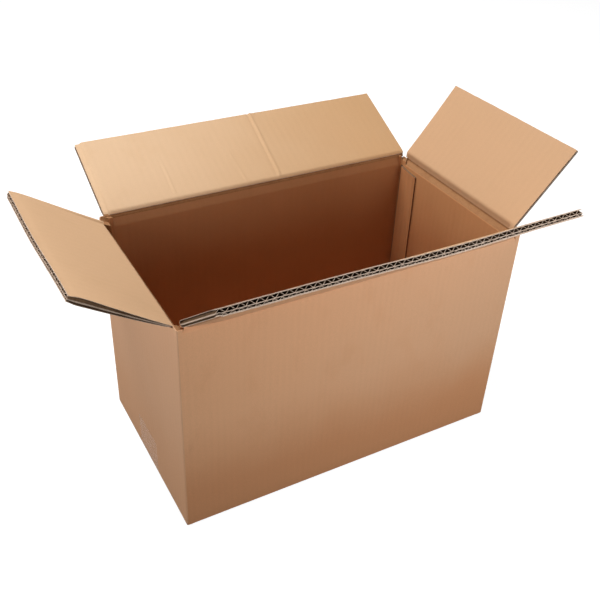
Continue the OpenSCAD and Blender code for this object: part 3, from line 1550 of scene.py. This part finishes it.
@dataclass(frozen=True)
class Studio:
    """A white studio: pale floor, even sky, soft lamps and the camera."""

    eye: tuple[float, float, float] = (-0.3460, -0.57857, 0.61451)
    right: tuple[float, float, float] = (0.87619, -0.48032, 0.03972)
    down: tuple[float, float, float] = (-0.24763, -0.51936, -0.81789)
    forward: tuple[float, float, float] = (0.41348, 0.70679, -0.574)
    lens: float = 49.69

    def camera(self) -> bpy.types.Object:
        """Set the camera at the photograph's place."""
        data = bpy.data.cameras.new("camera")
        data.lens = self.lens
        data.sensor_width = 36.0
        data.clip_start = 0.01
        data.clip_end = 100.0
        made = bpy.data.objects.new("camera", data)
        bpy.context.scene.collection.objects.link(made)
        up = -Vector(self.down)
        back = -Vector(self.forward)
        turn = Matrix((self.right, up, back)).transposed()
        made.matrix_world = Matrix.Translation(self.eye) @ turn.to_4x4()
        bpy.context.scene.camera = made
        return made

    def floor(self) -> bpy.types.Object:
        """Lay the pale floor, which keeps the box's shadow and shows white."""
        maker = MeshMaker()
        half = 6.0
        ticks = np.linspace(-half, half, 13)
        grid = np.stack(np.meshgrid(ticks, ticks, [0.0], indexing="ij"), -1)[:, :, 0, :]
        first = maker.add_points(grid)
        maker.add_grid(first, 13, 13, 0, False)
        tree = ShaderTree.named("pale_floor")
        path = tree.node("ShaderNodeLightPath")
        seen = Signal(tree, path.outputs["Is Camera Ray"])
        glossy = Signal(tree, path.outputs["Is Glossy Ray"])
        clear = Signal(tree, path.outputs["Is Transmission Ray"])
        shown = (seen + glossy + clear).math("MINIMUM", 1.0)
        lit = tree.shader("ShaderNodeBsdfDiffuse", {"Color": (0.32, 0.32, 0.32, 1.0)})
        glow = tree.shader("ShaderNodeEmission", {"Color": WHITE, "Strength": 0.88})
        both = tree.shader("ShaderNodeAddShader", {0: lit, 1: glow})
        plain = tree.shader("ShaderNodeBsdfDiffuse", {"Color": (0.12, 0.12, 0.12, 1.0)})
        mixed = tree.shader("ShaderNodeMixShader", {0: shown, 1: plain, 2: both})
        piece = maker.build("floor", [tree.surface(mixed)])
        return piece

    def sky(self) -> None:
        """Set an even sky, white where it is seen and softer where it lights."""
        tree = ShaderTree(bpy.data.worlds.new("studio"))
        seen = tree.node("ShaderNodeLightPath").outputs["Is Camera Ray"]
        light = tree.shader("ShaderNodeBackground", {"Color": WHITE, "Strength": 0.06})
        plain = tree.shader("ShaderNodeBackground", {"Color": WHITE, "Strength": 1.0})
        mixed = tree.shader("ShaderNodeMixShader", {0: seen, 1: light, 2: plain})
        bpy.context.scene.world = tree.surface(mixed, "ShaderNodeOutputWorld")

    def lamps(self) -> None:
        """Hang the soft lamps: a large one above and behind, and weak ones low in front and at the left."""
        middle = (0.0, 0.0, 0.12)
        soft_light("top_light", (-0.308, 0.533, 1.791), middle, (0.9, 0.9), 31.0)
        soft_light("front_light", (0.21, -0.62, 0.36), middle, (0.3, 0.3), 2.35)
        soft_light("left_light", (-0.75, -0.07, 0.42), middle, (0.3, 0.3), 2.15)
        soft_light("back_light", (0.84, 0.84, 1.57), middle, (0.9, 0.9), 3.0)

    def build(self) -> None:
        """Build the whole studio."""
        self.camera()
        self.floor()
        self.sky()
        self.lamps()
        bpy.context.scene.view_settings.view_transform = "Standard"


LINER_TONES = {
    Axis.LONG: (
        KraftTone((0.84, 0.46, 0.25), (0.735, 0.43, 0.252), (0.67, 0.316, 0.15)),
        # Long inside tone, lighter at the left end than the right: painted light falling from the left across
        # the flaps' inner faces.
        KraftTone((0.66, 0.45, 0.28), (0.54, 0.32, 0.16), (0.58, 0.36, 0.20)),
        # Darker inside tone for the walls' inside and the bottom: painted shade inside the box.
        KraftTone((0.46, 0.22, 0.10), (0.42, 0.19, 0.08), (0.54, 0.25, 0.125)),
    ),
    Axis.SHORT: (
        KraftTone((0.76, 0.44, 0.26), (0.78, 0.45, 0.25), (0.74, 0.405, 0.225)),
        KraftTone((0.63, 0.40, 0.23), (0.585, 0.355, 0.20), (0.54, 0.33, 0.18)),
        # Darker inside tone, darker still below 0.14 to 0.22 m: painted shade inside the box, deeper lower
        # down.
        KraftTone((0.58, 0.28, 0.12), (0.58, 0.28, 0.12), (0.46, 0.19, 0.073), (0.14, 0.22)),
    ),
}


@dataclass
class BoxFinishes:
    """All the finishes of the box, made once."""

    board: BoardGrade
    panels: dict[bool, list[bpy.types.Material]] = field(default_factory=dict)
    floor: dict[bool, list[bpy.types.Material]] = field(default_factory=dict)
    walls: list[bpy.types.Material] = field(default_factory=list)
    webs: dict[bool, list[bpy.types.Material]] = field(default_factory=dict)
    tab: list[bpy.types.Material] = field(default_factory=list)
    tape: bpy.types.Material | None = None

    def build(self) -> None:
        """Build all the materials and sort them by the pieces that use them."""
        board = self.board
        cut = CutPaper("cut_edge", (0.63, 0.49, 0.39), (0.46, 0.33, 0.24)).material()
        # Dark crease paper: painted shade in the crease grooves, the corner slots and on the webs.
        crease = CutPaper("crease_paper", (0.36, 0.18, 0.08), (0.28, 0.13, 0.055)).material()
        # Dark fluting paper: the medium's own colour, darkened into painted shade in the flutes and on the
        # tab's crease and rim.
        fluting = CutPaper("fluting_paper", (0.22, 0.13, 0.07), (0.14, 0.08, 0.045), 500.0).material()
        for axis, (outer, inner, deep) in LINER_TONES.items():
            word = axis.name.lower()
            outside = Kraft(f"kraft_{word}_outside", axis, board.small_pitch, outer).material()
            inside = Kraft(f"kraft_{word}_inside", axis, board.large_pitch, inner).material()
            # A darker copy of the inside liner for the walls' inside and the bottom: painted shade inside the
            # box.
            shaded = Kraft(f"kraft_{word}_deep", axis, board.large_pitch, deep).material()
            self.panels[axis is Axis.LONG] = [outside, inside, cut, fluting]
            self.floor[axis is Axis.LONG] = [outside, shaded, cut, fluting]
            # The webs' inside and rim take the dark crease paper: painted shade in the fold.
            self.webs[axis is Axis.LONG] = [outside, crease, crease, fluting]
            self.walls += [outside, shaded]
        self.walls.append(crease)
        # The tab's dark tone is painted shade in the box's inside corner.
        tab_tone = KraftTone((0.54, 0.25, 0.105), (0.54, 0.25, 0.105), (0.52, 0.23, 0.095))
        tab = Kraft("kraft_tab", Axis.SHORT, board.large_pitch, tab_tone).material()
        self.tab = [tab, tab, cut, fluting]
        self.tape = ClearTape("clear_tape", (0.72, 0.50, 0.32), (0.80, 0.62, 0.45)).material()


def main() -> None:
    """Build the box's pieces and the studio, and report each piece."""
    logging.basicConfig(level=logging.INFO, format="%(name)s: %(message)s")
    board = BoardGrade()
    finishes = BoxFinishes(board)
    finishes.build()
    creases = [Crease(joint) for joint in frame["joints"]]
    by_name = {crease.flap: crease for crease in creases}
    low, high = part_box("box_body")
    rims = {}
    for side in Side:
        crease = by_name[side.flap]
        look = FLAP_LOOKS[side.flap]
        flap = TopFlap(crease, look, board)
        piece = flap.build_board(finishes.panels[side.long])
        web = flap.build_web(finishes.webs[side.long])
        LOG.info("%s: %d faces", piece.name, len(piece.data.polygons))
        LOG.info("%s: %d faces", web.name, len(web.data.polygons))
        pivot = -float(crease.extent()[0][1])
        rims[side] = Rim(float(crease.pivot_point[2]), pivot, board.thickness, look.rim)
    walls = BoxWalls(board=board, length=high.x - low.x, width=high.y - low.y, rims=rims, foot=low.z)
    pieces = [walls.build(finishes.walls)]
    front_low, front_high = by_name["front_flap"].extent()
    left_low, left_high = by_name["left_flap"].extent()
    boards = BottomBoards(
        walls=walls,
        long_flap=float(front_high[0] - front_low[0]),
        short_flap=float(left_high[0] - left_low[0]),
        short_reach=float(left_high[2] - left_low[1]),
    )
    pieces += boards.build(finishes.floor)
    right_rim = rims[Side.RIGHT]
    tab_top = right_rim.height - board.thickness + right_rim.pivot - 0.5 * MM
    tab = GlueTab(walls, low.z + 2.0 * board.thickness, tab_top, board.large_pitch)
    pieces.append(tab.build(finishes.tab))
    tape_low, tape_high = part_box("bottom_tape")
    tape = BottomTape(walls, tape_high.y - tape_low.y, tape_high.z)
    pieces.append(tape.build(finishes.tape))
    for piece in pieces:
        LOG.info("%s: %d faces", piece.name, len(piece.data.polygons))
    Studio().build()


if __name__ == "__main__":
    main()
